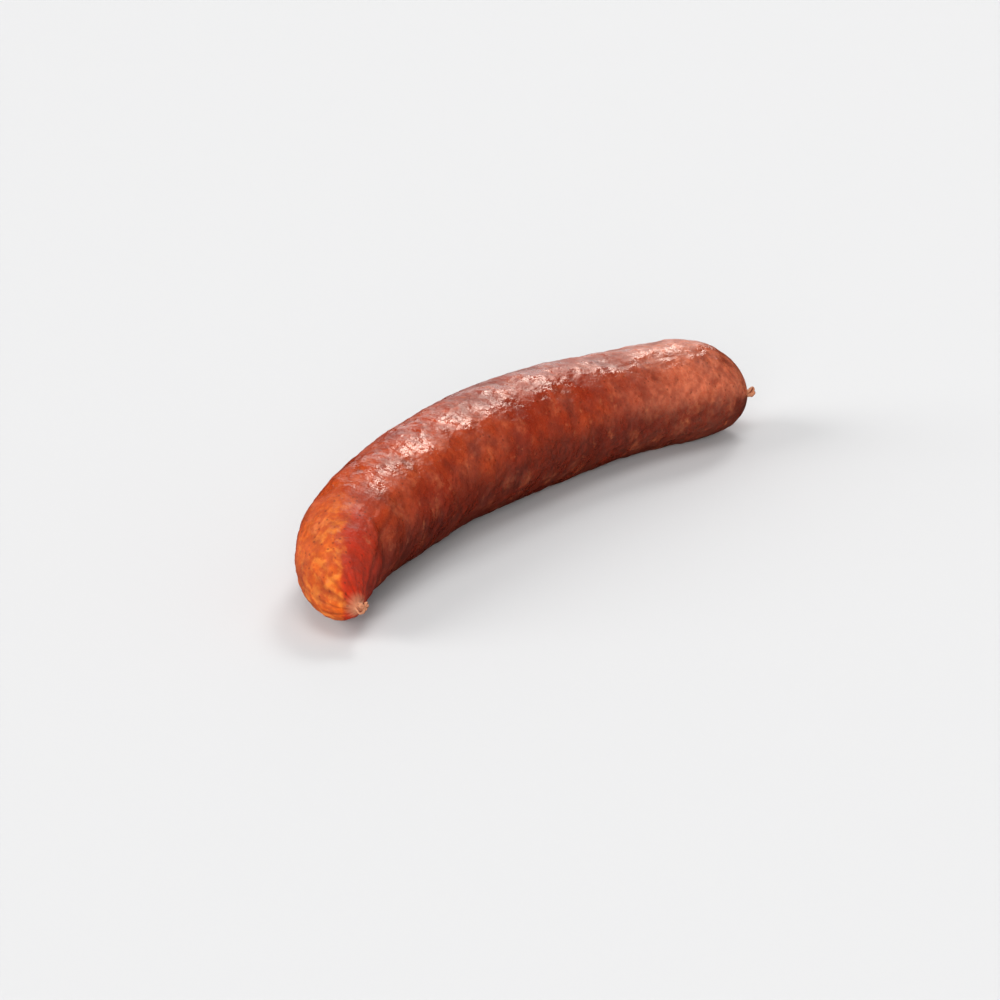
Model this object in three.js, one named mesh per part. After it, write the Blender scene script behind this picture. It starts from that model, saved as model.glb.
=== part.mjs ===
// One smoked sausage link: coarse meat in a natural casing, bowed as it hung in the smoke and
// lying on its side. One end tapers long and curls inwards, the other is a blunter dome, and
// each closes in a gathered pucker with a short twist of dry casing.
// Millimetres. +X runs from the tapered end to the blunt end, the hollow of the bow faces -Y,
// and z = 0 is the surface that the link lies on.

import * as THREE from 'three'
import { mergeVertices } from 'three/addons/utils/BufferGeometryUtils.js'

// Bow: the middle line from tie to tie, seen from above
const CHORD_LENGTH = 195
const TAPER_CURL_ANGLE = THREE.MathUtils.degToRad(83)
const TAPER_CURL_REACH = 42
const BLUNT_CURL_ANGLE = THREE.MathUtils.degToRad(46)
const BLUNT_CURL_REACH = 54

// Girth: the radius of the body, fullest at the belly and slimmer towards the tapered end
const BODY_RADIUS = 15.3
const BELLY_SWELL = 0.17
const BELLY_PLACE = 0.51
const BELLY_SPREAD = 0.25
const GIRTH_SLOPE = 0.12

// Ends: how far each dome reaches along the link, and how full its outline is
const TAPER_DOME_LENGTH = 52
const TAPER_DOME_POWER = 1.9
const BLUNT_DOME_LENGTH = 27
const BLUNT_DOME_POWER = 2.2

// Lying on its side: the middle line's height as a share of the radius, and its fall at each tie
const RESTING_HEIGHT = 0.97
const TAPER_TIP_FALL = 0.34
const BLUNT_TIP_FALL = 0.25

// Gathered casing: pleats that run into each tie, deepest at their crest's distance from it, and
// the twisted stub beyond it
const PLEAT_COUNT = 12
const PLEAT_DEPTH = 0.4
const PLEAT_CREST = 3.2
const STUB_LENGTH = 2.8
const STUB_NECK_RADIUS = 1.6
const STUB_FLARE = 0.5
const STUB_LOBES = 3
const STUB_LOBE_DEPTH = 0.35
const STUB_TWIST_PER_MM = 0.6

// Creases across the link: a deep one in the hollow where the tapered end curls in, and a
// shallow one over the back. Place is the distance from the tapered end's tie in the hollow,
// slant is how much farther the crease lies on top, and facing is the angle round the link
// where it is deepest: 0 in the hollow, a quarter turn on top.
const CURL_CREASE = { place: 25, depth: 1.8, width: 3.2, slant: 6, facing: THREE.MathUtils.degToRad(12) }
const BACK_CREASE = { place: 151, depth: 0.6, width: 3.2, slant: 4, facing: THREE.MathUtils.degToRad(80) }

// Fineness of the faceted surface
const AROUND_STEPS = 48
const BODY_STEP = 3.8
const TAPER_DOME_RINGS = 26
const BLUNT_DOME_RINGS = 13
const STUB_RINGS = 3

const centreline = new THREE.CubicBezierCurve3(
  new THREE.Vector3(0, 0, 0),
  new THREE.Vector3(
    TAPER_CURL_REACH * Math.cos(TAPER_CURL_ANGLE),
    TAPER_CURL_REACH * Math.sin(TAPER_CURL_ANGLE),
    0,
  ),
  new THREE.Vector3(
    CHORD_LENGTH - BLUNT_CURL_REACH * Math.cos(BLUNT_CURL_ANGLE),
    BLUNT_CURL_REACH * Math.sin(BLUNT_CURL_ANGLE),
    0,
  ),
  new THREE.Vector3(CHORD_LENGTH, 0, 0),
)
centreline.arcLengthDivisions = 800
const LINK_LENGTH = centreline.getLength()

// How far into a dome a place lies: 0 on the body, 1 at the tie
function domeDepth(distanceFromTie, domeLength) {
  return THREE.MathUtils.clamp(1 - distanceFromTie / domeLength, 0, 1)
}

// Radius of the body alone, as if the link had no ends
function bodyRadius(along) {
  const share = THREE.MathUtils.clamp(along / LINK_LENGTH, 0, 1)
  const belly = BELLY_SWELL * Math.exp(-(((share - BELLY_PLACE) / BELLY_SPREAD) ** 2))
  return BODY_RADIUS * (1 + belly + GIRTH_SLOPE * (share - 0.5))
}

// Radius of the link at a distance from the tapered end's tie, domes and stubs included
function linkRadius(along) {
  const beyond = Math.max(-along, along - LINK_LENGTH, 0)
  if (beyond > 0) {
    return STUB_NECK_RADIUS + STUB_FLARE * (beyond / STUB_LENGTH) ** 2
  }
  const taper = domeDepth(along, TAPER_DOME_LENGTH) ** TAPER_DOME_POWER
  const blunt = domeDepth(LINK_LENGTH - along, BLUNT_DOME_LENGTH) ** BLUNT_DOME_POWER
  const dome = bodyRadius(along) * Math.sqrt(1 - taper) * Math.sqrt(1 - blunt)
  return Math.hypot(dome, STUB_NECK_RADIUS)
}

// Height of the middle line: on the body a little under one radius, lower towards each tie
function middleHeight(along) {
  const taper = domeDepth(along, TAPER_DOME_LENGTH) ** 2
  const blunt = domeDepth(LINK_LENGTH - along, BLUNT_DOME_LENGTH) ** 2
  const fall = 1 - TAPER_TIP_FALL * taper - BLUNT_TIP_FALL * blunt
  return RESTING_HEIGHT * bodyRadius(along) * fall
}

// Depth of a crease at a place: bell-shaped along the link, fading round it from its facing
function creaseDepth(along, turn, crease) {
  const offset = (along - crease.place - crease.slant * Math.sin(turn)) / crease.width
  const facing = Math.max(Math.cos(turn - crease.facing), 0) ** 2
  return crease.depth * facing * Math.exp(-(offset ** 2))
}

// How far the casing stands in from the plain outline at a place, for the lobes of a twisted
// stub, or for the pleats near a tie and the creases across the link
function casingDepth(along, turn) {
  const fromTie = Math.min(along, LINK_LENGTH - along)
  if (fromTie < 0) {
    return STUB_LOBE_DEPTH * Math.cos(STUB_LOBES * (turn + STUB_TWIST_PER_MM * fromTie))
  }
  const gather = (fromTie / PLEAT_CREST) * Math.exp(1 - fromTie / PLEAT_CREST)
  const pleat = PLEAT_DEPTH * gather * Math.cos(PLEAT_COUNT * turn)
  return pleat + creaseDepth(along, turn, CURL_CREASE) + creaseDepth(along, turn, BACK_CREASE)
}

// Distances from the tapered end's tie at which the link has a ring of points
function ringPlaces() {
  const places = []
  for (let ring = 0; ring < STUB_RINGS; ring++) {
    places.push(-STUB_LENGTH * (1 - ring / STUB_RINGS))
  }
  for (let ring = 0; ring < TAPER_DOME_RINGS; ring++) {
    places.push(TAPER_DOME_LENGTH * (1 - Math.cos((Math.PI / 2) * (ring / TAPER_DOME_RINGS))))
  }
  const bodyLength = LINK_LENGTH - TAPER_DOME_LENGTH - BLUNT_DOME_LENGTH
  const bodyRings = Math.round(bodyLength / BODY_STEP)
  for (let ring = 0; ring < bodyRings; ring++) {
    places.push(TAPER_DOME_LENGTH + (bodyLength * ring) / bodyRings)
  }
  for (let ring = BLUNT_DOME_RINGS; ring > 0; ring--) {
    const share = 1 - Math.cos((Math.PI / 2) * (ring / BLUNT_DOME_RINGS))
    places.push(LINK_LENGTH - BLUNT_DOME_LENGTH * share)
  }
  for (let ring = 0; ring <= STUB_RINGS; ring++) {
    places.push(LINK_LENGTH + (STUB_LENGTH * ring) / STUB_RINGS)
  }
  return places
}

// The link before it is bowed: a turned body along the lathe's axis
function turnedLink() {
  const places = ringPlaces()
  const outline = places.map((along) => new THREE.Vector2(linkRadius(along), along))
  outline.unshift(new THREE.Vector2(0, places[0]))
  outline.push(new THREE.Vector2(0, places[places.length - 1]))
  return new THREE.LatheGeometry(outline, AROUND_STEPS)
}

// Moves each point of the turned body to its place around the bowed middle line, pressed flat
// where the link touches the surface
function bowedLink() {
  const turned = turnedLink()
  turned.deleteAttribute('normal')
  turned.deleteAttribute('uv')
  const geometry = mergeVertices(turned)
  const points = geometry.getAttribute('position')
  const point = new THREE.Vector3()
  for (let index = 0; index < points.count; index++) {
    point.fromBufferAttribute(points, index)
    const along = point.y
    const turn = Math.atan2(point.z, point.x)
    const axisDistance = Math.hypot(point.x, point.z)
    const share = THREE.MathUtils.clamp(along / LINK_LENGTH, 0, 1)
    const tangent = centreline.getTangentAt(share)
    const middle = centreline.getPointAt(share)
    middle.addScaledVector(tangent, along - share * LINK_LENGTH)
    const radius = axisDistance > 0 ? axisDistance - casingDepth(along, turn) : 0
    const aside = radius * Math.cos(turn)
    const height = middleHeight(along) + radius * Math.sin(turn)
    points.setXYZ(
      index,
      middle.x + aside * tangent.y,
      middle.y - aside * tangent.x,
      Math.max(height, 0),
    )
  }
  return geometry
}

const link = new THREE.Mesh(
  bowedLink(),
  new THREE.MeshStandardMaterial({ color: 0x9c4a2b, roughness: 0.4, metalness: 0 }),
)
link.name = 'sausage_link'

// The origin stands under the middle of the link's box
link.geometry.computeBoundingBox()
const middle = link.geometry.boundingBox.getCenter(new THREE.Vector3())
link.geometry.translate(-middle.x, -middle.y, 0)

const sausage = new THREE.Group()
sausage.add(link)

export default sausage
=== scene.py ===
"""A smoked sausage link, dressed: coarse meat under a smoked natural casing, bowed, lying on
its side, gathered into a short twist of dry casing at each end.

The surface repeats the plain form of the CAD link from the same sizes and adds what the
smoke and the filling do to the casing: rolls, lumps of meat, dried wrinkles, pleats.
Sizes are in millimetres until a mesh is made; the scene itself is in metres.
"""

import logging
import math
from dataclasses import dataclass, field
from enum import Enum

import bpy
import numpy as np
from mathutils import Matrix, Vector


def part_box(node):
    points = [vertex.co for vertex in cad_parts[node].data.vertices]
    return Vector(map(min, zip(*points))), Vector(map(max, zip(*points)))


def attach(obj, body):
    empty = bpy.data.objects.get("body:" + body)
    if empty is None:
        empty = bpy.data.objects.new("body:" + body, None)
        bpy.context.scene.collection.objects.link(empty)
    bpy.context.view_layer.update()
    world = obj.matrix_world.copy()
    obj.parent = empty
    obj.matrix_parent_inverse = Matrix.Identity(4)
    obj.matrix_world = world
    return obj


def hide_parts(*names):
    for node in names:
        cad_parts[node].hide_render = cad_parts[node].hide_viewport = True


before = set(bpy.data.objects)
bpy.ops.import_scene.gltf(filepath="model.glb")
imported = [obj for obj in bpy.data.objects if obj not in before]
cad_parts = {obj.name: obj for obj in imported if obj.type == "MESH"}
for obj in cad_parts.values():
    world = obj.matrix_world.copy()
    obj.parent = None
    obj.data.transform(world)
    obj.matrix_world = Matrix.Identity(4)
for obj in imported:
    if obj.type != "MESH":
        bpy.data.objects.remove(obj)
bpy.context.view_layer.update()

MM = 0.001
FULL_TURN = 2 * math.pi

log = logging.getLogger("sausage_link")


def smooth_step(values: np.ndarray, start: float, end: float) -> np.ndarray:
    """Eases from 0 at start to 1 at end, by the cubic 3t^2 - 2t^3.

    Args:
        values: any array.
        start: the value that gives 0.
        end: the value that gives 1, above or below start.

    Returns:
        An array of shares between 0 and 1.
    """
    share = np.clip((values - start) / (end - start), 0, 1)
    return share * share * (3 - 2 * share)


def paint(red: int, green: int, blue: int) -> tuple[float, float, float, float]:
    """Turns a colour as it is seen on a screen, 0 to 255, into the shader's linear colour, by
    the standard screen curve: a straight foot, then a power of 2.4.

    Args:
        red: the screen's red.
        green: the screen's green.
        blue: the screen's blue.

    Returns:
        The linear colour with full alpha.
    """
    shares = np.array([red, green, blue]) / 255
    linear = np.where(shares <= 0.04045, shares / 12.92, ((shares + 0.055) / 1.055) ** 2.4)
    return (*(float(part) for part in linear), 1.0)


class Grain:
    """Seeded gradient noise in three dimensions, worked out for whole arrays at once."""

    TABLE = 256
    STRENGTH = 1.6
    SCATTER = 0.45
    FAR = 9.0

    def __init__(self, seed: int) -> None:
        """Draws the table of slopes.

        Args:
            seed: the number that fixes the pattern.
        """
        draw = np.random.default_rng(seed)
        self.order = draw.permutation(self.TABLE)
        slopes = draw.normal(size=(self.TABLE, 3))
        self.slopes = slopes / np.linalg.norm(slopes, axis=1, keepdims=True)

    def pick(self, cell: np.ndarray) -> np.ndarray:
        """Gives each whole-number cell its place in the table.

        Args:
            cell: whole numbers, with x, y and z in the last axis.

        Returns:
            Whole numbers from 0 to 255.
        """
        found = self.order[cell[..., 0] % self.TABLE]
        found = self.order[(found + cell[..., 1]) % self.TABLE]
        return self.order[(found + cell[..., 2]) % self.TABLE]

    def at(self, places: np.ndarray) -> np.ndarray:
        """Noise of about -1 to 1: each corner of a place's cell has a slope, and the eight
        slopes' values at the place are blended by the quintic 6t^5 - 15t^4 + 10t^3.

        Args:
            places: points with x, y and z in the last axis, in units of the pattern's size.

        Returns:
            One value for each point.
        """
        low = np.floor(places).astype(int)
        inside = places - low
        ease = inside**3 * (inside * (inside * 6 - 15) + 10)
        total = np.zeros(places.shape[:-1])
        for corner in np.ndindex(2, 2, 2):
            step = np.array(corner)
            slope = self.slopes[self.pick(low + step)]
            weight = np.prod(np.where(step == 1, ease, 1 - ease), axis=-1)
            total += weight * np.sum(slope * (inside - step), axis=-1)
        return total * self.STRENGTH

    def cells(self, places: np.ndarray) -> tuple[np.ndarray, np.ndarray]:
        """Scattered points, one in each cell: how far each place is from the nearest of them,
        and a share between 0 and 1 that is the nearest point's own.

        Args:
            places: points with x, y and z in the last axis, in units of the pattern's size.

        Returns:
            The distances and the nearest points' shares.
        """
        low = np.floor(places).astype(int)
        nearest = np.full(places.shape[:-1], self.FAR)
        share = np.zeros(places.shape[:-1])
        for offset in np.ndindex(3, 3, 3):
            cell = low + np.array(offset) - 1
            number = self.pick(cell)
            point = cell + 0.5 + self.SCATTER * self.slopes[number]
            distance = np.linalg.norm(places - point, axis=-1)
            closer = distance < nearest
            nearest = np.where(closer, distance, nearest)
            share = np.where(closer, number / self.TABLE, share)
        return nearest, share


class LinkEnd(Enum):
    """The two ends of the link."""

    TAPER = "taper"
    BLUNT = "blunt"


@dataclass(frozen=True)
class Dome:
    """The rounding of one end, in millimetres."""

    length: float
    power: float
    tip_fall: float

    def depth(self, from_tie: np.ndarray) -> np.ndarray:
        """How far into the dome a place lies: 0 on the body, 1 at the tie."""
        return np.clip(1 - from_tie / self.length, 0, 1)

    def fullness(self, from_tie: np.ndarray) -> np.ndarray:
        """Share of the body's radius that the dome leaves: the root of 1 - depth^power."""
        return np.sqrt(1 - self.depth(from_tie) ** self.power)


@dataclass
class Bow:
    """The middle line seen from above: a cubic curve from tie to tie, in millimetres."""

    chord_length: float = 195
    taper_curl_degrees: float = 83
    taper_curl_reach: float = 42
    blunt_curl_degrees: float = 46
    blunt_curl_reach: float = 54
    samples: int = 2000

    def __post_init__(self) -> None:
        """Measures the curve once, so that places on it can be found by distance."""
        taper = math.radians(self.taper_curl_degrees)
        blunt = math.radians(self.blunt_curl_degrees)
        handles = np.array([
            (0, 0),
            (self.taper_curl_reach * math.cos(taper), self.taper_curl_reach * math.sin(taper)),
            (
                self.chord_length - self.blunt_curl_reach * math.cos(blunt),
                self.blunt_curl_reach * math.sin(blunt),
            ),
            (self.chord_length, 0),
        ])
        time = np.linspace(0, 1, self.samples)[:, None]
        back = 1 - time
        self.line = (
            back**3 * handles[0]
            + 3 * back**2 * time * handles[1]
            + 3 * back * time**2 * handles[2]
            + time**3 * handles[3]
        )
        slopes = (
            back**2 * (handles[1] - handles[0])
            + 2 * back * time * (handles[2] - handles[1])
            + time**2 * (handles[3] - handles[2])
        )
        self.headings = slopes / np.linalg.norm(slopes, axis=1, keepdims=True)
        steps = np.linalg.norm(np.diff(self.line, axis=0), axis=1)
        self.distances = np.concatenate([[0], np.cumsum(steps)])
        self.length = float(self.distances[-1])

    def at(self, along: np.ndarray) -> tuple[np.ndarray, np.ndarray]:
        """The middle line's point and heading at each distance; past a tie it runs straight on.

        Args:
            along: distances from the tapered end's tie.

        Returns:
            Points and unit headings, with x and y in the last axis.
        """
        held = np.clip(along, 0, self.length)
        point = np.stack(
            [np.interp(held, self.distances, self.line[:, axis]) for axis in (0, 1)], axis=-1
        )
        heading = np.stack(
            [np.interp(held, self.distances, self.headings[:, axis]) for axis in (0, 1)], axis=-1
        )
        return point + heading * (along - held)[..., None], heading


@dataclass(frozen=True)
class Crease:
    """A fold across the link: where it lies from the tapered end's tie, how deep and wide it
    is, how far it slants from the hollow to the top, and the angle where it is deepest."""

    place: float
    depth: float
    width: float
    slant: float
    facing_degrees: float

    def depth_at(self, along: np.ndarray, turn: np.ndarray) -> np.ndarray:
        """Depth at each place: bell-shaped along the link, fading round it from its facing.

        Args:
            along: distances from the tapered end's tie.
            turn: angles round the link.

        Returns:
            Depths in millimetres.
        """
        offset = (along - self.place - self.slant * np.sin(turn)) / self.width
        facing = np.clip(np.cos(turn - math.radians(self.facing_degrees)), 0, 1) ** 2
        return self.depth * facing * np.exp(-(offset**2))


@dataclass
class CasingRelief:
    """How the casing stands out from or in to the plain form. Sizes are in millimetres. A
    draw is an offset that reads the same noise elsewhere, and a span is where an easing
    starts and ends."""

    seed: int = 41
    roll_size: float = 30
    roll_height: float = 0.45
    lump_size: float = 8.5
    lump_height: float = 0.4
    nub_size: float = 2.2
    nub_height: float = 0.18
    pip_size: float = 1.15
    pip_height: float = 0.08
    pip_draw: float = 11
    chunk_size: float = 6.2
    chunk_height: float = 0.2
    chunk_mean: float = 0.5
    fat_choice_span: tuple = (0.58, 0.7)
    fat_edge_span: tuple = (0.62, 0.2)
    fat_wobble: float = 0.2
    wrinkle_length: float = 9
    wrinkle_width: float = 2.7
    wrinkle_height: float = 0.08
    wrinkle_sharpness: int = 4
    wrinkle_mean: float = 0.4
    wrinkle_least: float = 0.35
    wrinkle_patch_span: tuple = (-0.5, 0.5)
    wrinkle_patch_draw: float = 7
    fold_length: float = 5.5
    fold_stretch: float = 4
    fold_height: float = 0.1
    fold_sharpness: int = 6
    pleat_count: int = 12
    pleat_depth: float = 0.2
    pleat_crest: float = 3.2
    pleat_wander: float = 1.1
    pleat_wander_reach: float = 40
    pleat_wander_girth: float = 1.3
    pleat_swing: float = 2.2
    pleat_mean: float = 0.75
    pleat_unevenness: float = 0.5
    pleat_uneven_reach: float = 30
    pleat_uneven_girth: float = 2.1
    fine_pleat_share: float = 0.35
    fine_pleat_swing: float = 5
    quiet_length: float = 9
    long_fold_degrees: float = 2
    long_fold_climb: float = 1.0
    long_fold_start_span: tuple = (0, 8)
    long_fold_end_span: tuple = (46, 30)
    long_fold_depth: float = 0.4
    long_fold_width: float = 1.3
    # Painted shade in a band just below the long fold.
    shade_band_top_span: tuple = (0.4, -1.4)
    shade_band_foot_span: tuple = (-12, -5)
    shade_band_share: float = 0.8
    creases: tuple = (
        Crease(place=25, depth=1.8, width=3.2, slant=6, facing_degrees=12),
        Crease(place=151, depth=0.6, width=3.2, slant=4, facing_degrees=80),
    )

    def __post_init__(self) -> None:
        """Makes the seeded patterns."""
        self.rolls = Grain(self.seed)
        self.lumps = Grain(self.seed + 1)
        self.nubs = Grain(self.seed + 2)
        self.chunks = Grain(self.seed + 3)
        self.wrinkles = Grain(self.seed + 4)
        self.folds = Grain(self.seed + 5)

    def filling(self, straight: np.ndarray) -> np.ndarray:
        """Lumps of coarse meat: wide rolls, lumps, nubs and pips of gradient noise, and a low
        dome over each scattered chunk.

        Args:
            straight: places on the link before it is bowed.

        Returns:
            Heights above the plain form.
        """
        distance, _ = self.chunks.cells(straight / self.chunk_size)
        dome = self.chunk_height * (self.chunk_mean - np.clip(distance, 0, 1) ** 2)
        return (
            dome
            + self.roll_height * self.rolls.at(straight / self.roll_size)
            + self.lump_height * self.lumps.at(straight / self.lump_size)
            + self.nub_height * self.nubs.at(straight / self.nub_size)
            + self.pip_height * self.nubs.at(straight / self.pip_size + self.pip_draw)
        )

    def fat(self, straight: np.ndarray) -> np.ndarray:
        """Where a scattered chunk is fat: about one in three, palest in its middle, with an
        edge that wobbles with the lumps.

        Args:
            straight: places on the link before it is bowed.

        Returns:
            Shares from 0 to 1.
        """
        wobble = self.fat_wobble * self.lumps.at(straight / self.nub_size)
        distance, share = self.chunks.cells(straight / self.chunk_size)
        chosen = smooth_step(share, *self.fat_choice_span)
        return chosen * smooth_step(distance + wobble, *self.fat_edge_span)

    def wrinkling(self, straight: np.ndarray, inner: np.ndarray) -> np.ndarray:
        """Wrinkles of the dried casing: a power of 1 - |noise|, so narrow crests where
        stretched noise crosses zero, lengthwise all round, and narrow folds of the same form
        crosswise in the hollow of the bow.

        Args:
            straight: places on the link before it is bowed.
            inner: share from 0 to 1 of facing the hollow of the bow.

        Returns:
            Heights above the plain form.
        """
        lengthwise = np.array([self.wrinkle_length, self.wrinkle_width, self.wrinkle_width])
        crests = (1 - np.abs(self.wrinkles.at(straight / lengthwise))) ** self.wrinkle_sharpness
        patch = self.wrinkles.at(straight / self.roll_size + self.wrinkle_patch_draw)
        patch = smooth_step(patch, *self.wrinkle_patch_span)
        strength = self.wrinkle_least + (1 - self.wrinkle_least) * patch
        fold_width = self.fold_stretch * self.fold_length
        crosswise = np.array([self.fold_length, fold_width, fold_width])
        folds = (1 - np.abs(self.folds.at(straight / crosswise))) ** self.fold_sharpness
        raised = self.wrinkle_height * strength * (crests - self.wrinkle_mean)
        return raised - self.fold_height * inner * folds

    def gathering(self, from_tie: np.ndarray, turn: np.ndarray, place: np.ndarray) -> np.ndarray:
        """Pleats that run into each tie: a cosine round it and a finer one at twice its
        count, deepest near the tie by d * e^(1 - d) with d the distance in crests, their
        spacing and depth wandering round.

        Args:
            from_tie: distance from the nearest tie.
            turn: angle round the link.
            place: places on the link before it is bowed.

        Returns:
            Heights above the plain form, mostly inwards.
        """
        along = place[..., 0]
        facing = np.stack([np.cos(turn), np.sin(turn)], axis=-1)

        def round_link(reach: float, girth: float) -> np.ndarray:
            """Places for noise that closes on itself round the link."""
            return np.concatenate([along[..., None] / reach, facing * girth], axis=-1)

        wander = self.nubs.at(round_link(self.pleat_wander_reach, self.pleat_wander_girth))
        wander = self.pleat_wander * wander
        uneven = self.folds.at(round_link(self.pleat_uneven_reach, self.pleat_uneven_girth))
        uneven = self.pleat_mean + self.pleat_unevenness * uneven
        wave = np.cos(self.pleat_count * turn + self.pleat_swing * wander)
        fine = np.cos(2 * self.pleat_count * turn + self.fine_pleat_swing * wander)
        nearness = from_tie / self.pleat_crest * np.exp(1 - from_tie / self.pleat_crest)
        return -self.pleat_depth * nearness * uneven * (wave + self.fine_pleat_share * fine)

    def height(
        self, straight: np.ndarray, turn: np.ndarray, from_tie: np.ndarray
    ) -> np.ndarray:
        """The relief without the creases. The filling and wrinkles die out towards each tie.

        Args:
            straight: places on the link before it is bowed.
            turn: angles round the link.
            from_tie: distance from the nearest tie, 0 on the stubs.

        Returns:
            Heights above the plain form.
        """
        inner = np.clip(np.cos(turn), 0, 1) ** 2
        loud = smooth_step(from_tie, 0, self.quiet_length)
        body = self.filling(straight) + self.wrinkling(straight, inner)
        return loud * body + self.gathering(from_tie, turn, straight)

    def creasing(self, along: np.ndarray, turn: np.ndarray) -> np.ndarray:
        """Heights below the plain form in the creases across the link."""
        return -sum(crease.depth_at(along, turn) for crease in self.creases)

    def long_fold(
        self, along: np.ndarray, turn: np.ndarray, radius: np.ndarray
    ) -> tuple[np.ndarray, np.ndarray]:
        """One long fold that climbs from the tapered end's tie over the bend: bell-shaped
        across, fading at both its ends.

        Args:
            along: distances from the tapered end's tie.
            turn: angles round the link.
            radius: the plain form's radius.

        Returns:
            Heights below the plain form, and shares of painted shade in the fold and in the band
            just below it.
        """
        line = np.radians(self.long_fold_degrees + self.long_fold_climb * along)
        above = (turn - line) * radius
        fading = smooth_step(along, *self.long_fold_end_span)
        fading = fading * smooth_step(along, *self.long_fold_start_span)
        bell = np.exp(-((above / self.long_fold_width) ** 2))
        # Painted shade in the fold and in a band just below it.
        band = smooth_step(above, *self.shade_band_top_span)
        band = band * smooth_step(above, *self.shade_band_foot_span)
        smoked = np.maximum(bell, self.shade_band_share * band)
        return -self.long_fold_depth * fading * bell, fading * smoked


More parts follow.
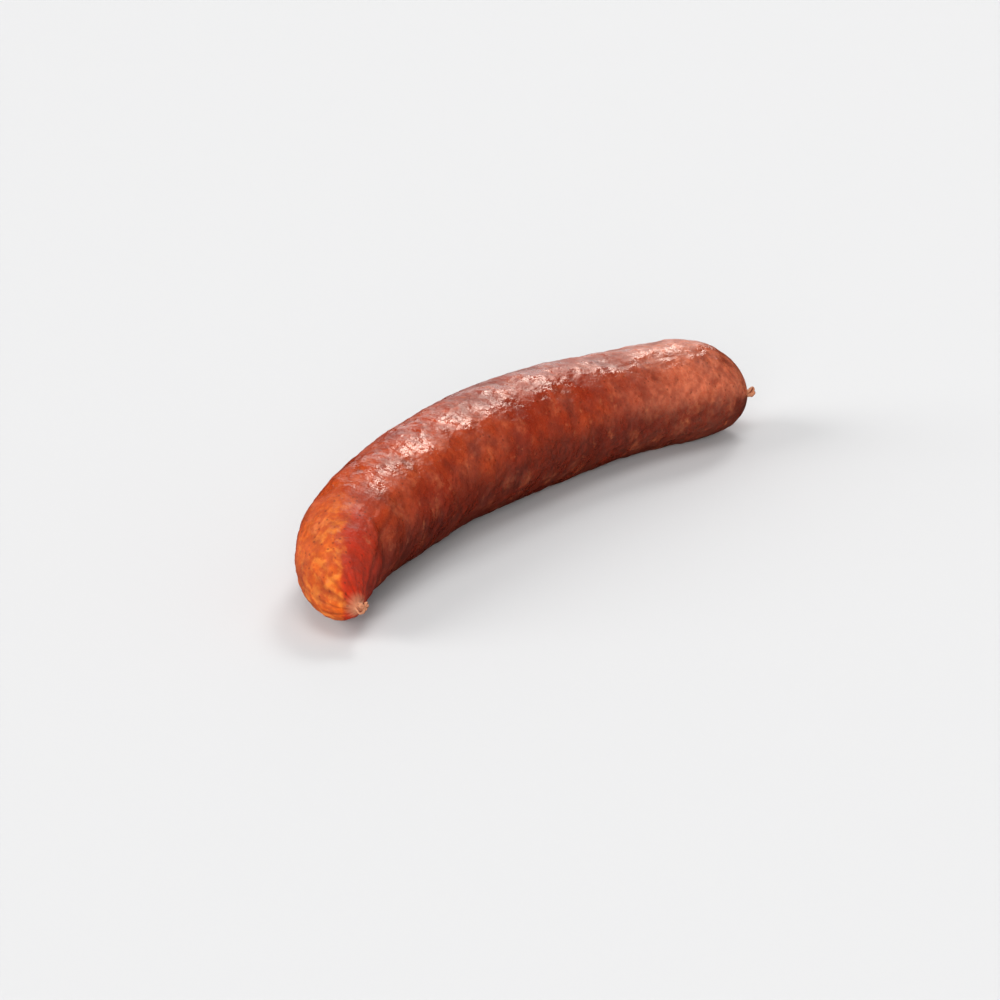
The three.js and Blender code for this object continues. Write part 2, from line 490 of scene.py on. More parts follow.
@dataclass(frozen=True)
class SmokedCasing:
    """The finish of the link: smoked natural casing over coarse meat, and its dry stubs, with
    painted light and shade in its colour.
    Pattern sizes are in millimetres. A span is where an easing starts and ends, and, where
    they aren't 0 and 1, its values there."""

    mahogany: tuple = paint(137, 41, 21)
    russet: tuple = paint(176, 67, 32)
    # The tapered end's orange and red: partly its own colour, partly painted light on the lit
    # outside of the curl and painted shade in its hollow.
    end_orange: tuple = paint(198, 86, 18)
    end_gold: tuple = paint(210, 114, 40)
    end_red: tuple = paint(180, 38, 10)
    # Paler tan near the blunt tie: partly the end's own lighter tone, partly painted sheen.
    end_tan_and_sheen: tuple = paint(208, 114, 82)
    # Smoke brown: the casing's own smudges, and painted shade on the underside and in the long
    # fold.
    smoke_brown_and_shade: tuple = paint(74, 30, 26)
    # Lean meat: the meat's own colour where it shows through, and painted shade in the relief's
    # valleys.
    lean_meat_and_valley_shade: tuple = paint(100, 30, 20)
    fat_fleck: tuple = paint(190, 102, 64)
    fat_chunk: tuple = paint(200, 104, 66)
    pinhole: tuple = paint(96, 32, 15)
    dry_stub: tuple = paint(186, 124, 92)
    # Darker colour in the stubs' folds: painted shade.
    stub_fold_shade: tuple = paint(112, 52, 34)
    patch_size: float = 26
    smudge_size: float = 11
    lean_size: float = 5
    fleck_size: float = 3.4
    pinhole_size: float = 1.8
    mottle_size: float = 1.6
    skin_size: float = 0.75
    sheen_size: float = 7
    wander_share: float = 0.5
    patch_span: tuple = (0.36, 0.64)
    tan_span: tuple = (0, 0.8, 0, 0.75)
    # Painted shade on the underside.
    under_span: tuple = (0, 1, 0, 0.85)
    smudge_span: tuple = (0.52, 0.7, 0, 0.45)
    ragged_share: float = 0.8
    outside_span: tuple = (0.1, 0.9)
    gold_span: tuple = (0.45, 0.62)
    gold_end_span: tuple = (0.45, 1)
    end_span: tuple = (0.1, 1.1)
    lean_span: tuple = (0.5, 0.68, 0, 0.4)
    fleck_span: tuple = (0.6, 0.72, 0, 0.5)
    streak_span: tuple = (0.36, 0.6, 0.08, 0.32)
    mottle_span: tuple = (0.62, 0.4, 0, 0.35)
    # Painted shade in the valleys.
    valley_span: tuple = (0.1, 0.9, 0, 0.4)
    fold_shadow: float = 0.5
    hole_edge_span: tuple = (0.24, 0.12)
    hole_patch_stretch: float = 2.2
    hole_choice_span: tuple = (0.5, 0.56, 0, 0.62)
    hole_end_share: float = 0.18
    stub_fold_shade_span: tuple = (0.25, 0.75)
    sheen_span: tuple = (0.35, 0.65, 0.19, 0.48)
    valley_roughness: float = 0.1
    dry_end_span: tuple = (0.3, 1, 0, 0.35)
    gloss_span: tuple = (0, 1, 0.8, 0.4)
    skin_share: float = 0.25

    def material(self) -> bpy.types.Material:
        """Wires the casing's shader from the link's own attributes."""
        wiring = Wiring("smoked_casing")
        straight = wiring.attribute("straight", "Vector")
        taper = wiring.attribute("taper_share", "Fac")
        outside = wiring.attribute("lit_outside_share", "Fac")
        blunt = wiring.attribute("blunt_share", "Fac")
        under = wiring.attribute("underside_shade_share", "Fac")
        valley = wiring.attribute("valley", "Fac")
        fat = wiring.attribute("fat_share", "Fac")
        fold = wiring.attribute("fold_shade_share", "Fac")
        stub = wiring.attribute("stub_share", "Fac")
        ends = (taper, outside, blunt)
        colour = self.colour(wiring, straight, ends, (under, valley, fat, fold), stub)
        shader = wiring.node("ShaderNodeBsdfPrincipled")
        wiring.join(colour, shader, "Base Color")
        wiring.join(self.roughness(wiring, straight, valley, taper), shader, "Roughness")
        wiring.join(self.bump(wiring, straight), shader, "Normal")
        wiring.join(wiring.span(taper, *self.gloss_span), shader, "Specular IOR Level")
        shader.inputs["Subsurface Weight"].default_value = 0.12
        shader.inputs["Subsurface Radius"].default_value = (1.0, 0.35, 0.2)
        shader.inputs["Subsurface Scale"].default_value = 2.0 * MM
        shader.inputs["Specular Tint"].default_value = (1.0, 0.75, 0.57, 1.0)
        shader.inputs["IOR"].default_value = 1.5
        wiring.finish(shader)
        return wiring.material

    def colour(
        self,
        wiring: "Wiring",
        straight: bpy.types.NodeSocket,
        ends: tuple[bpy.types.NodeSocket, ...],
        shades: tuple[bpy.types.NodeSocket, ...],
        stub: bpy.types.NodeSocket,
    ) -> bpy.types.NodeSocket:
        """The casing's colour: smoke patches, lighter ends, painted light and shade on the tapered
        end (orange on the lit outside of the curl, red in its shaded hollow), a paler tan near the
        blunt tie that is partly painted sheen, painted shade on the underside, meat and fat
        showing through, painted shade in the valleys and in the long fold, pinholes, and the stubs
        with painted shade in their folds.

        Args:
            wiring: the material being wired.
            straight: places on the link before it is bowed.
            ends: nearness to the tapered tie, the share of painted light from 1 on the lit outside
                of the curl to 0 in its shaded hollow and round that tie, and nearness to the blunt
                tie.
            shades: share of painted shade where the link faces down into the hollow, depth below
                the plain form, which also places painted shade in the valleys, share of fat under
                the casing, and share of painted shade in and below the long fold.
            stub: 1 on the stubs.

        Returns:
            The colour's socket.
        """
        taper, outside, blunt = ends
        under, valley, fat, fold = shades
        patch = wiring.noise(straight, self.patch_size, detail=3)
        colour = wiring.mix(
            wiring.span(patch, *self.patch_span), self.mahogany, self.russet
        )
        wander = wiring.noise(straight, self.patch_size / 2, detail=2)
        wander = wiring.centred(wander, self.wander_share)
        # Paler tan near the blunt tie: partly the end's own lighter tone, partly painted sheen.
        tan = wiring.span(wiring.maths("ADD", blunt, wander), *self.tan_span)
        colour = wiring.mix(tan, colour, self.end_tan_and_sheen)
        # Painted shade where the link faces down into its hollow.
        brown = wiring.span(wiring.maths("ADD", under, wander), *self.under_span)
        colour = wiring.mix(brown, colour, self.smoke_brown_and_shade)
        smudge = wiring.noise(straight, self.smudge_size, detail=4, roughness=0.6)
        colour = wiring.mix(
            wiring.span(smudge, *self.smudge_span), colour, self.smoke_brown_and_shade
        )
        glow = wiring.span(wiring.maths("ADD", taper, wander), *self.end_span)
        end = self.end_colour(wiring, straight, taper, outside, wander)
        colour = wiring.mix(glow, colour, end)
        lean = wiring.span(wiring.noise(straight, self.lean_size, detail=3), *self.lean_span)
        colour = wiring.mix(lean, colour, self.lean_meat_and_valley_shade)
        fleck = wiring.noise(straight, self.fleck_size, detail=4, roughness=0.6)
        colour = wiring.mix(wiring.span(fleck, *self.fleck_span), colour, self.fat_fleck)
        mottle = wiring.noise(straight, self.mottle_size, detail=3)
        fat = wiring.maths("MULTIPLY", fat, wiring.span(mottle, *self.streak_span))
        colour = wiring.mix(fat, colour, self.fat_chunk)
        colour = wiring.mix(wiring.span(mottle, *self.mottle_span), colour, self.mahogany)
        # Painted shade in the valleys of the relief.
        colour = wiring.mix(wiring.span(valley, *self.valley_span), colour, self.lean_meat_and_valley_shade)
        # Painted shade in and just below the long fold.
        shadow = wiring.maths("MULTIPLY", fold, self.fold_shadow)
        colour = wiring.mix(shadow, colour, self.smoke_brown_and_shade)
        colour = wiring.mix(self.pinholes(wiring, straight, taper), colour, self.pinhole)
        # Painted shade in the folds of the stubs.
        crease = wiring.span(wiring.maths("ADD", valley, wander), *self.stub_fold_shade_span)
        return wiring.mix(stub, colour, wiring.mix(crease, self.dry_stub, self.stub_fold_shade))

    def end_colour(
        self,
        wiring: "Wiring",
        straight: bpy.types.NodeSocket,
        taper: bpy.types.NodeSocket,
        outside: bpy.types.NodeSocket,
        wander: bpy.types.NodeSocket,
    ) -> bpy.types.NodeSocket:
        """The tapered end's colour, with painted light and shade: orange with flecks of gold on
        the lit outside of the curl, red in its shaded hollow, with a ragged border between them.

        Args:
            wiring: the material being wired.
            straight: places on the link before it is bowed.
            taper: nearness to the tapered tie.
            outside: the share of painted light, 1 on the lit outside of the curl to 0 in its
                shaded hollow and round the tie.
            wander: wide noise about 0, which bends the border.

        Returns:
            The colour's socket.
        """
        gold = wiring.noise(straight, 2 * self.mottle_size, detail=3)
        border = wiring.maths("ADD", outside, wiring.centred(gold, self.ragged_share))
        border = wiring.span(wiring.maths("ADD", border, wander), *self.outside_span)
        near = wiring.span(taper, *self.gold_end_span)
        golden = wiring.maths("MULTIPLY", wiring.span(gold, *self.gold_span), near)
        orange = wiring.mix(golden, self.end_orange, self.end_gold)
        # Painted light and shade: red in the shaded hollow, orange on the lit outside of the curl.
        return wiring.mix(border, self.end_red, orange)

    def pinholes(
        self, wiring: "Wiring", straight: bpy.types.NodeSocket, taper: bpy.types.NodeSocket
    ) -> bpy.types.NodeSocket:
        """Where the casing has a pinhole: small dots on scattered points, kept in patches and
        more of them at the tapered end.

        Args:
            wiring: the material being wired.
            straight: places on the link before it is bowed.
            taper: nearness to the tapered tie.

        Returns:
            The share's socket.
        """
        dot = wiring.span(wiring.cell_distance(straight, self.pinhole_size), *self.hole_edge_span)
        chosen = wiring.noise(straight, self.hole_patch_stretch * self.pinhole_size, detail=0)
        chosen = wiring.maths("MULTIPLY_ADD", taper, self.hole_end_share, chosen)
        return wiring.maths("MULTIPLY", dot, wiring.span(chosen, *self.hole_choice_span))

    def roughness(
        self,
        wiring: "Wiring",
        straight: bpy.types.NodeSocket,
        valley: bpy.types.NodeSocket,
        taper: bpy.types.NodeSocket,
    ) -> bpy.types.NodeSocket:
        """Roughness: fat sheen in patches, duller in the valleys and at the dry tapered end.

        Args:
            wiring: the material being wired.
            straight: places on the link before it is bowed.
            valley: depth below the plain form.
            taper: nearness to the tapered tie.

        Returns:
            The roughness's socket.
        """
        sheen = wiring.noise(straight, self.sheen_size, detail=4)
        rough = wiring.span(sheen, *self.sheen_span)
        rough = wiring.maths("MULTIPLY_ADD", valley, self.valley_roughness, rough)
        return wiring.maths("ADD", wiring.span(taper, *self.dry_end_span), rough)

    def bump(
        self, wiring: "Wiring", straight: bpy.types.NodeSocket
    ) -> bpy.types.NodeSocket:
        """Fine relief below what the mesh carries: casing skin over small nubs.

        Args:
            wiring: the material being wired.
            straight: places on the link before it is bowed.

        Returns:
            The normal's socket.
        """
        skin = wiring.noise(straight, self.skin_size, detail=2)
        nubs = wiring.noise(straight, 2 * self.mottle_size, detail=3)
        total = wiring.maths("MULTIPLY_ADD", skin, self.skin_share, nubs)
        bump = wiring.node("ShaderNodeBump")
        bump.inputs["Strength"].default_value = 0.8
        bump.inputs["Distance"].default_value = 0.7 * MM
        wiring.join(total, bump, "Height")
        return bump.outputs["Normal"]


class Wiring:
    """Adds shader nodes to one new material and joins them."""

    def __init__(self, name: str) -> None:
        """Makes the material with nothing in it but its output.

        Args:
            name: the material's name.
        """
        self.material = bpy.data.materials.new(name)
        self.material.use_nodes = True
        self.tree = self.material.node_tree
        self.tree.nodes.clear()

    def node(self, kind: str) -> bpy.types.Node:
        """Adds a node of a kind."""
        return self.tree.nodes.new(kind)

    def join(self, source: object, node: bpy.types.Node, socket: str | int) -> None:
        """Gives a node's input its value: another node's output, or a constant.

        Args:
            source: an output socket, a number or a colour.
            node: the node that takes it.
            socket: the input's name or number.
        """
        if isinstance(source, bpy.types.NodeSocket):
            self.tree.links.new(source, node.inputs[socket])
        else:
            node.inputs[socket].default_value = source

    def attribute(self, name: str, output: str) -> bpy.types.NodeSocket:
        """Reads one of the mesh's own attributes."""
        node = self.node("ShaderNodeAttribute")
        node.attribute_name = name
        return node.outputs[output]

    def noise(
        self,
        where: bpy.types.NodeSocket,
        size: float,
        detail: float,
        roughness: float = 0.5,
    ) -> bpy.types.NodeSocket:
        """Noise whose features are about size millimetres across.

        Args:
            where: the places, in millimetres.
            size: the features' size in millimetres.
            detail: how many finer layers it has.
            roughness: how strong the finer layers are.

        Returns:
            The noise's socket, about 0.3 to 0.7.
        """
        node = self.node("ShaderNodeTexNoise")
        self.join(where, node, "Vector")
        node.inputs["Scale"].default_value = 1 / size
        node.inputs["Detail"].default_value = detail
        node.inputs["Roughness"].default_value = roughness
        return node.outputs["Fac"]

    def cell_distance(self, where: bpy.types.NodeSocket, size: float) -> bpy.types.NodeSocket:
        """Distance to the nearest of points scattered about size millimetres apart."""
        node = self.node("ShaderNodeTexVoronoi")
        self.join(where, node, "Vector")
        node.inputs["Scale"].default_value = 1 / size
        return node.outputs["Distance"]

    def span(
        self,
        value: bpy.types.NodeSocket,
        start: float,
        end: float,
        low: float = 0.0,
        high: float = 1.0,
    ) -> bpy.types.NodeSocket:
        """Eases a value from low at start to high at end.

        Args:
            value: the value's socket.
            start: where low ends.
            end: where high begins.
            low: the result below start.
            high: the result above end.

        Returns:
            The eased value's socket.
        """
        node = self.node("ShaderNodeMapRange")
        node.interpolation_type = "SMOOTHSTEP"
        if start > end:
            start, end, low, high = end, start, high, low
        for source, socket in zip((value, start, end, low, high), range(5)):
            self.join(source, node, socket)
        return node.outputs[0]

    def mix(self, share: object, first: object, second: object) -> bpy.types.NodeSocket:
        """Mixes two colours.

        Args:
            share: how much of the second colour there is.
            first: a colour or its socket.
            second: a colour or its socket.

        Returns:
            The mixed colour's socket.
        """
        node = self.node("ShaderNodeMix")
        node.data_type = "RGBA"
        factor = next(s for s in node.inputs if s.identifier == "Factor_Float")
        low = next(s for s in node.inputs if s.identifier == "A_Color")
        high = next(s for s in node.inputs if s.identifier == "B_Color")
        for source, socket in ((share, factor), (first, low), (second, high)):
            if isinstance(source, bpy.types.NodeSocket):
                self.tree.links.new(source, socket)
            else:
                socket.default_value = source
        return next(s for s in node.outputs if s.identifier == "Result_Color")

    def maths(self, operation: str, *values: object) -> bpy.types.NodeSocket:
        """Works out a sum from sockets and numbers, in order."""
        node = self.node("ShaderNodeMath")
        node.operation = operation
        for index, value in enumerate(values):
            self.join(value, node, index)
        return node.outputs[0]

    def centred(self, noise: bpy.types.NodeSocket, share: float) -> bpy.types.NodeSocket:
        """Scales noise and moves its middle from a half to 0."""
        return self.maths("MULTIPLY_ADD", noise, share, -share / 2)

    def finish(self, shader: bpy.types.Node) -> None:
        """Joins the shader to the material's output."""
        output = self.node("ShaderNodeOutputMaterial")
        self.tree.links.new(shader.outputs[0], output.inputs["Surface"])


@dataclass(frozen=True)
class Wave:
    """One cosine round a stub: its strength, how many times it swings in a full turn, and
    where it starts, in radians."""

    strength: float
    count: int
    start: float

    def at(self, turn: np.ndarray) -> np.ndarray:
        """The wave's value at each angle."""
        return self.strength * np.cos(self.count * turn + self.start)


@dataclass(frozen=True)
class TwistedStub:
    """The dry twist of casing beyond each tie. Sizes are in millimetres, and a share is how
    much of the stub's length lies between the tie and a place."""

    length: float = 2.8
    neck_radius: float = 1.6
    flare: float = 0.5
    waist: float = 0.3
    waist_place: float = 0.25
    rounding: float = 0.9
    rounding_power: int = 8
    lobe_depth: float = 0.35
    lobe_waves: tuple = (
        Wave(strength=1, count=3, start=0),
        Wave(strength=0.5, count=7, start=1.3),
        Wave(strength=0.3, count=12, start=0.4),
    )
    lobe_peak: float = 1.4
    lobe_rise: float = 3
    twist_per_mm: float = 0.6
    lean: float = 0.7
    rag: float = 0.55
    rag_waves: tuple = (
        Wave(strength=1, count=2, start=0.6),
        Wave(strength=0.7, count=5, start=2),
        Wave(strength=0.4, count=9, start=0),
    )

    def radius(self, share: np.ndarray) -> np.ndarray:
        """Radius of a stub: drawn in at its waist by w * e^(1 - w), with w the distance in
        waist places, flared with the square of the distance, and rounded off at its end by
        the root of 1 - rounding * share^power.

        Args:
            share: share of the stub's length, 0 at the tie.

        Returns:
            Radii in millimetres.
        """
        share = np.clip(share, 0, 1)
        place = share / self.waist_place
        waist = 1 - self.waist * place * np.exp(1 - place)
        flared = self.neck_radius * waist + self.flare * share**2
        return flared * np.sqrt(1 - self.rounding * share**self.rounding_power)

    def folds(self, share: np.ndarray, turn: np.ndarray) -> np.ndarray:
        """Folds of the twist: one wave round it for the lobes and two finer ones for the
        creases between them, all turning with the distance.

        Args:
            share: share of the stub's length, 0 at the tie.
            turn: angles round the link.

        Returns:
            Values of about -1 to 1, 0 at the tie.
        """
        twisted = turn - self.twist_per_mm * self.length * share
        lobes = sum(wave.at(twisted) for wave in self.lobe_waves)
        return -np.clip(self.lobe_rise * share, 0, 1) * lobes / self.lobe_peak

    def shape(
        self, points: np.ndarray, share: np.ndarray, outwards: np.ndarray, turn: np.ndarray
    ) -> np.ndarray:
        """Leans each stub upwards with the square of the distance, and pulls its rim in and
        out along the link by three waves and the cube of the distance, for a ragged end.

        Args:
            points: the placed points of the whole link.
            share: share of the stub's length, 0 on the body.
            outwards: unit headings away from the link, with x and y in the last axis.
            turn: angles round the link.

        Returns:
            The moved points.
        """
        moved = points.copy()
        moved[..., 2] += self.lean * share**2
        rag = sum(wave.at(turn) for wave in self.rag_waves)
        moved[..., :2] += (self.rag * share**3 * (rag - 1) / 2)[..., None] * outwards
        return moved


@dataclass(frozen=True)
class SmokeAndPaintedLight:
    """How the casing's colour changes from place to place: the ends' own lighter tones, partly
    painted light where they reach out along the top, and painted light and shade: orange on the
    lit outside of the tapered end's curl, red in its shaded hollow, darker where the link faces
    down. Lengths are in millimetres, and a span is where an easing starts and ends."""

    taper_reach: float = 42
    taper_full: float = 4
    # The tapered end's lighter tone reaches farthest just outside the top, on the lit side: partly
    # its own colour, partly painted light.
    taper_crest: float = 28
    taper_crest_degrees: float = 100
    taper_crest_sharpness: int = 4
    blunt_reach: float = 90
    # Orange outside the curl and red in its hollow and round the tie: painted light and shade.
    outside_span: tuple = (-0.6, 0.4)
    tie_red_share: float = 1.5
    tie_red_reach: float = 3.4
    # Darker where the link faces down into its hollow: painted shade.
    under_tilt: float = 0.7
    under_span: tuple = (0.35, 1)

    def shares(
        self, ties: dict[LinkEnd, np.ndarray], turn: np.ndarray
    ) -> dict[str, np.ndarray]:
        """Lighter near the ties, reaching farthest from the tapered one just outside the top,
        which is partly painted light; painted light and shade on the tapered end, red in the
        shaded hollow of the curl and round its tie; and painted shade where the link faces down
        into its hollow.

        Args:
            ties: distances from each end's tie.
            turn: angles round the link.

        Returns:
            Named shares from 0 to 1.
        """
        crest = np.clip(np.cos(turn - math.radians(self.taper_crest_degrees)), 0, 1)
        reach = self.taper_reach + self.taper_crest * crest**self.taper_crest_sharpness
        red = self.tie_red_share * np.exp(-np.abs(ties[LinkEnd.TAPER]) / self.tie_red_reach)
        return {
            "taper_share": smooth_step(ties[LinkEnd.TAPER], reach, self.taper_full),
            "blunt_share": smooth_step(ties[LinkEnd.BLUNT], self.blunt_reach, 0),
            # painted light and shade: 1 on the lit outside of the curl, 0 in its shaded hollow and
            # round the tie
            "lit_outside_share": smooth_step(-np.cos(turn) - red, *self.outside_span),
            # painted shade where the link faces down
            "underside_shade_share": smooth_step(np.cos(turn + self.under_tilt), *self.under_span),
        }


@dataclass
class SausageLink:
    """The link: its plain form, the relief of its casing, and its mesh. In millimetres. A
    span is where an easing starts and ends."""

    bow: Bow = field(default_factory=Bow)
    stub: TwistedStub = field(default_factory=TwistedStub)
    relief: CasingRelief = field(default_factory=CasingRelief)
    smoke: SmokeAndPaintedLight = field(default_factory=SmokeAndPaintedLight)
    finish: SmokedCasing = field(default_factory=SmokedCasing)
    body_radius: float = 15.3
    belly_swell: float = 0.17
    belly_place: float = 0.51
    belly_spread: float = 0.25
    girth_slope: float = 0.12
    resting_height: float = 0.97
    stub_span: tuple = (1.6, -0.6)
    valley_span: tuple = (0.35, -0.6)
    rings: int = 380
    around: int = 250
    stub_samples: int = 400
    body_samples: int = 12000
    ring_crowding: float = 4
    ring_crowding_reach: float = 3.5
    domes: dict = field(default_factory=lambda: {
        LinkEnd.TAPER: Dome(length=52, power=1.9, tip_fall=0.34),
        LinkEnd.BLUNT: Dome(length=27, power=2.2, tip_fall=0.25),
    })

    def from_ties(self, along: np.ndarray) -> dict[LinkEnd, np.ndarray]:
        """Distance from each end's tie."""
        return {LinkEnd.TAPER: along, LinkEnd.BLUNT: self.bow.length - along}

    def girth(self, along: np.ndarray) -> np.ndarray:
        """Radius of the body alone: a bell-shaped belly on a slope towards the blunt end."""
        share = np.clip(along / self.bow.length, 0, 1)
        belly = self.belly_swell * np.exp(-(((share - self.belly_place) / self.belly_spread) ** 2))
        return self.body_radius * (1 + belly + self.girth_slope * (share - 0.5))

    def radius(self, along: np.ndarray) -> np.ndarray:
        """Radius of the link, domes and stubs included.

        Args:
            along: distances from the tapered end's tie, negative or past the length on a stub.

        Returns:
            The body's radius times both domes' fullness, joined to the neck of the stub by
            the root of the sum of squares, and the stub's own radius beyond a tie.
        """
        ties = self.from_ties(along)
        body = self.girth(along)
        for end, dome in self.domes.items():
            body = body * dome.fullness(np.maximum(ties[end], 0))
        beyond = np.maximum(np.maximum(-ties[LinkEnd.TAPER], -ties[LinkEnd.BLUNT]), 0)
        stub = self.stub.radius(beyond / self.stub.length)
        return np.where(beyond > 0, stub, np.hypot(body, self.stub.neck_radius))

    def middle_height(self, along: np.ndarray) -> np.ndarray:
        """Height of the middle line: just under one radius, falling towards each tie."""
        ties = self.from_ties(along)
        fall = 1 - sum(
            dome.tip_fall * dome.depth(ties[end]) ** 2 for end, dome in self.domes.items()
        )
        return self.resting_height * self.girth(along) * fall

    def ring_places(self) -> np.ndarray:
        """Places of the rings: even steps along the outline, closer together near each tie by
        a bell curve of the distance from it.

        Returns:
            Distances from the tapered end's tie, one for each ring.
        """
        sweep = np.cos(np.linspace(0, math.pi, self.body_samples))
        along = np.concatenate([
            np.linspace(-self.stub.length, 0, self.stub_samples, endpoint=False),
            self.bow.length * (1 - sweep) / 2,
            self.bow.length + np.linspace(0, self.stub.length, self.stub_samples + 1)[1:],
        ])
        steps = np.hypot(np.diff(along), np.diff(self.radius(along)))
        middles = (along[1:] + along[:-1]) / 2
        nearest = np.minimum(np.abs(middles), np.abs(self.bow.length - middles))
        bell = np.exp(-((nearest / self.ring_crowding_reach) ** 2))
        crowding = 1 + self.ring_crowding * bell
        travelled = np.concatenate([[0], np.cumsum(steps * crowding)])
        return np.interp(np.linspace(0, travelled[-1], self.rings), travelled, along)

    def place(self, along: np.ndarray, turn: np.ndarray, radius: np.ndarray) -> np.ndarray:
        """Carries points round the bowed middle line, pressed flat where they meet the floor.

        Args:
            along: distances from the tapered end's tie.
            turn: angles round the link, 0 in the hollow of the bow, a quarter turn on top.
            radius: distances from the middle line.

        Returns:
            Points in the chord's frame, before they are centred.
        """
        middle, heading = self.bow.at(along)
        aside = radius * np.cos(turn)
        height = self.middle_height(along) + radius * np.sin(turn)
        return np.stack(
            [
                middle[..., 0] + aside * heading[..., 1],
                middle[..., 1] - aside * heading[..., 0],
                np.maximum(height, 0),
            ],
            axis=-1,
        )

    def surface(self) -> tuple[np.ndarray, dict[str, np.ndarray]]:
        """The dressed surface on a grid of rings, and what the shader reads from it.

        Returns:
            The points in metres in the part's frame, and named arrays of shares on the same
            grid, with the straightened places in millimetres.
        """
        along = self.ring_places()[:, None]
        turn = (np.arange(self.around) / self.around * FULL_TURN - math.pi / 2)[None, :]
        along, turn = np.broadcast_arrays(along, turn)
        radius = self.radius(along)
        plain = self.place(along, turn, radius)
        straight = np.stack([along, radius * np.cos(turn), radius * np.sin(turn)], axis=-1)
        signed = np.minimum(along, self.bow.length - along)
        from_tie = np.maximum(signed, 0)
        beyond = np.clip(-signed / self.stub.length, 0, 1)
        folds = self.stub.folds(beyond, turn)
        fullness = radius / self.stub.neck_radius
        height = self.relief.height(straight, turn, from_tie)
        height = height + self.stub.lobe_depth * np.where(beyond > 0, fullness, 0) * folds
        creases = self.relief.creasing(along, turn)
        fold, fold_shade_share = self.relief.long_fold(along, turn, radius)
        points = self.place(along, turn, radius + height + creases + fold)
        heading = self.bow.at(along)[1] * np.where(along < 0, -1, 1)[..., None]
        points = self.stub.shape(points, beyond, heading, turn)
        low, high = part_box("sausage_link")
        centre = np.array([(low[axis] + high[axis]) / 2 for axis in (0, 1)]) / MM
        plain_centre = (plain.min(axis=(0, 1)) + plain.max(axis=(0, 1))) / 2
        points[..., :2] += centre - plain_centre[:2]
        shares = self.smoke.shares(self.from_ties(along), turn) | {
            "straight": straight,
            "valley": smooth_step(height, *self.valley_span),
            "fat_share": self.relief.fat(straight),
            "fold_shade_share": fold_shade_share,
            "stub_share": smooth_step(signed, *self.stub_span),
        }
        return points * MM, shares

    def build(self) -> bpy.types.Object:
        """Makes the link's mesh: a tube of quads closed by a fan at each stub's end.

        Returns:
            The mesh's object, with the shader's arrays kept on its points.
        """
        grid, shares = self.surface()
        rings, around = grid.shape[:2]
        tips = grid[[0, -1]].mean(axis=1)
        points = np.concatenate([grid.reshape(-1, 3), tips])
        ring = np.arange(rings - 1)[:, None] * around
        side = np.arange(around)[None, :]
        next_side = (side + 1) % around
        quads = np.stack(
            [ring + side, ring + next_side, ring + around + next_side, ring + around + side],
            axis=-1,
        ).reshape(-1, 4)
        first_tip = rings * around
        last_ring = (rings - 1) * around
        start_fan = np.stack(
            [np.full(around, first_tip), next_side[0], side[0]], axis=-1
        )
        end_fan = np.stack(
            [np.full(around, first_tip + 1), last_ring + side[0], last_ring + next_side[0]],
            axis=-1,
        )
        faces = quads.tolist() + start_fan.tolist() + end_fan.tolist()
        mesh = bpy.data.meshes.new("link_casing")
        mesh.from_pydata(points.tolist(), [], faces)
        for name, values in shares.items():
            self.store(mesh, name, values)
        mesh.polygons.foreach_set("use_smooth", np.ones(len(faces), dtype=bool))
        mesh.update()
        piece = bpy.data.objects.new("link_casing", mesh)
        bpy.context.scene.collection.objects.link(piece)
        return piece

    def store(self, mesh: bpy.types.Mesh, name: str, values: np.ndarray) -> None:
        """Keeps an array of the grid on the mesh's points, each tip taking its ring's mean.

        Args:
            mesh: the link's mesh.
            name: the attribute's name.
            values: one number or one vector for each point of the grid.
        """
        vector = values.ndim == 3
        tips = values[[0, -1]].mean(axis=1)
        flat = values.reshape(-1, 3) if vector else values.reshape(-1)
        attribute = mesh.attributes.new(name, "FLOAT_VECTOR" if vector else "FLOAT", "POINT")
        everything = np.concatenate([flat, tips]).astype(np.float32).ravel()
        attribute.data.foreach_set("vector" if vector else "value", everything)

    def dress(self, piece: bpy.types.Object) -> None:
        """Gives the link its finish and its place in the frame."""
        piece.data.materials.append(self.finish.material())
        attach(piece, "root")
        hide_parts("sausage_link")


@dataclass(frozen=True)
class SoftLight:
    """A wide, distant soft light, mirrored by the link's sheen or not. It stands so many
    degrees to the right of the camera and above the floor, and spreads over so many more.
    Its strength is in watts for each square metre."""

    name: str
    right: float
    above: float
    spread: float
    strength: float
    mirrored: bool


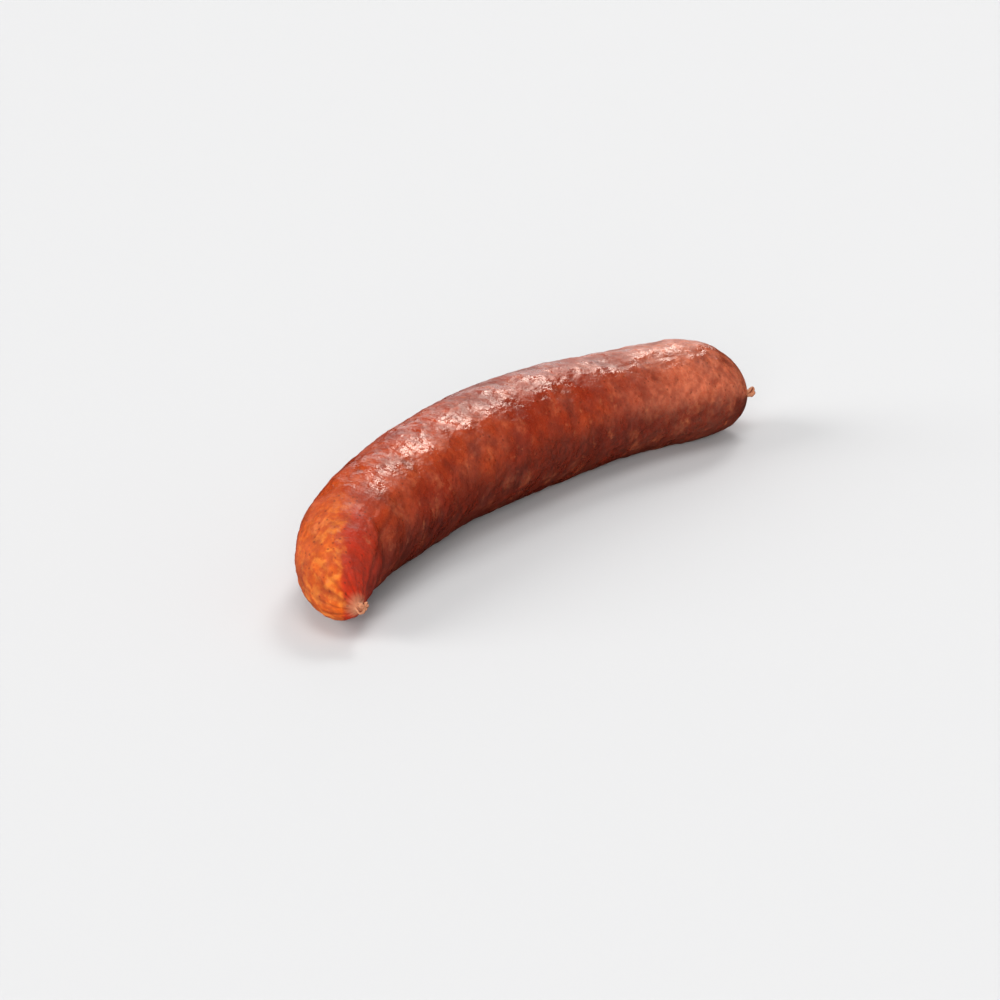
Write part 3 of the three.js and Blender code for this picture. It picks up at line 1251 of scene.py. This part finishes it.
@dataclass
class Studio:
    """Floor, soft lights, sky and the camera. In metres."""

    aim: Vector = field(default_factory=lambda: Vector((0.0197, 0.0185, 0.0)))
    azimuth_degrees: float = -53.8
    elevation_degrees: float = 21.4
    distance: float = 0.718
    view_degrees: float = 24.0
    shift_right: float = 0.001
    shift_up: float = -0.027
    nearest_seen: float = 0.01
    farthest_seen: float = 50
    floor_half: float = 4.0
    floor_colour: tuple = paint(204, 204, 204)
    sky_colour: tuple = paint(240, 240, 242)
    sky_strength: float = 0.42
    horizon_strength: float = 0.84
    horizon_top: float = 0.12
    sky_start: float = 0.5
    lights: tuple = (
        SoftLight("key_light", right=-85, above=26, spread=36, strength=2.05, mirrored=True),
        SoftLight("back_light", right=162, above=43, spread=17, strength=1.05, mirrored=True),
        SoftLight("low_back_light", right=178, above=14, spread=34, strength=0.38, mirrored=True),
        SoftLight("fill_light", right=-5, above=16, spread=36, strength=2.5, mirrored=False),
        SoftLight("overhead_light", right=0, above=80, spread=34, strength=0.9, mirrored=True),
    )

    def direction(self, azimuth: float, elevation: float) -> Vector:
        """Unit vector from the link towards a compass angle and a height, in degrees."""
        turn, rise = math.radians(azimuth), math.radians(elevation)
        return Vector(
            (math.sin(turn) * math.cos(rise), -math.cos(turn) * math.cos(rise), math.sin(rise))
        )

    def add_camera(self) -> None:
        """Places the camera at the photograph's angle and framing."""
        data = bpy.data.cameras.new("camera")
        data.sensor_fit = "HORIZONTAL"
        data.angle = math.radians(self.view_degrees)
        data.shift_x = self.shift_right
        data.shift_y = self.shift_up
        data.clip_start = self.nearest_seen
        data.clip_end = self.farthest_seen
        camera = bpy.data.objects.new("camera", data)
        back = self.direction(self.azimuth_degrees, self.elevation_degrees)
        camera.location = self.aim + back * self.distance
        camera.rotation_mode = "QUATERNION"
        camera.rotation_quaternion = (-back).to_track_quat("-Z", "Y")
        bpy.context.scene.collection.objects.link(camera)
        bpy.context.scene.camera = camera

    def add_lights(self) -> None:
        """Turns each soft light towards the link."""
        for light in self.lights:
            data = bpy.data.lights.new(light.name, "SUN")
            data.angle = math.radians(light.spread)
            data.energy = light.strength
            lamp = bpy.data.objects.new(light.name, data)
            lamp.visible_glossy = light.mirrored
            away = self.direction(self.azimuth_degrees + light.right, light.above)
            lamp.rotation_mode = "QUATERNION"
            lamp.rotation_quaternion = (-away).to_track_quat("-Z", "Y")
            bpy.context.scene.collection.objects.link(lamp)

    def add_floor(self) -> None:
        """Lays the plain pale floor at the height that the link lies on."""
        half = self.floor_half
        corners = [(-half, -half, 0), (half, -half, 0), (half, half, 0), (-half, half, 0)]
        mesh = bpy.data.meshes.new("floor")
        mesh.from_pydata(corners, [], [(0, 1, 2, 3)])
        floor = bpy.data.objects.new("floor", mesh)
        floor.visible_glossy = False
        wiring = Wiring("pale_floor")
        shader = wiring.node("ShaderNodeBsdfPrincipled")
        shader.inputs["Base Color"].default_value = self.floor_colour
        shader.inputs["Roughness"].default_value = 0.9
        shader.inputs["Specular IOR Level"].default_value = 0.2
        wiring.finish(shader)
        mesh.materials.append(wiring.material)
        bpy.context.scene.collection.objects.link(floor)

    def add_sky(self) -> None:
        """Lights the scene softly from all round, paler near the horizon."""
        world = bpy.data.worlds.new("soft_sky")
        world.use_nodes = True
        tree = world.node_tree
        background = tree.nodes["Background"]
        background.inputs["Color"].default_value = self.sky_colour
        facing = tree.nodes.new("ShaderNodeTexCoord")
        parts = tree.nodes.new("ShaderNodeSeparateXYZ")
        strength = tree.nodes.new("ShaderNodeMapRange")
        strength.interpolation_type = "SMOOTHSTEP"
        strength.inputs["From Min"].default_value = self.horizon_top
        strength.inputs["From Max"].default_value = self.sky_start
        strength.inputs["To Min"].default_value = self.horizon_strength
        strength.inputs["To Max"].default_value = self.sky_strength
        tree.links.new(facing.outputs["Generated"], parts.inputs["Vector"])
        tree.links.new(parts.outputs["Z"], strength.inputs["Value"])
        tree.links.new(strength.outputs["Result"], background.inputs["Strength"])
        world.cycles_visibility.glossy = False
        bpy.context.scene.world = world
        bpy.context.scene.view_settings.view_transform = "Standard"

    def build(self) -> None:
        """Builds everything round the link."""
        self.add_camera()
        self.add_lights()
        self.add_floor()
        self.add_sky()


def main() -> None:
    """Builds the studio and the link, and reports each piece."""
    logging.basicConfig(level=logging.INFO, format="%(name)s: %(message)s")
    Studio().build()
    link = SausageLink()
    piece = link.build()
    link.dress(piece)
    log.info(
        "%s: %d faces, %.0f mm from tie to tie",
        piece.name, len(piece.data.polygons), link.bow.length,
    )


if __name__ == "__main__":
    main()
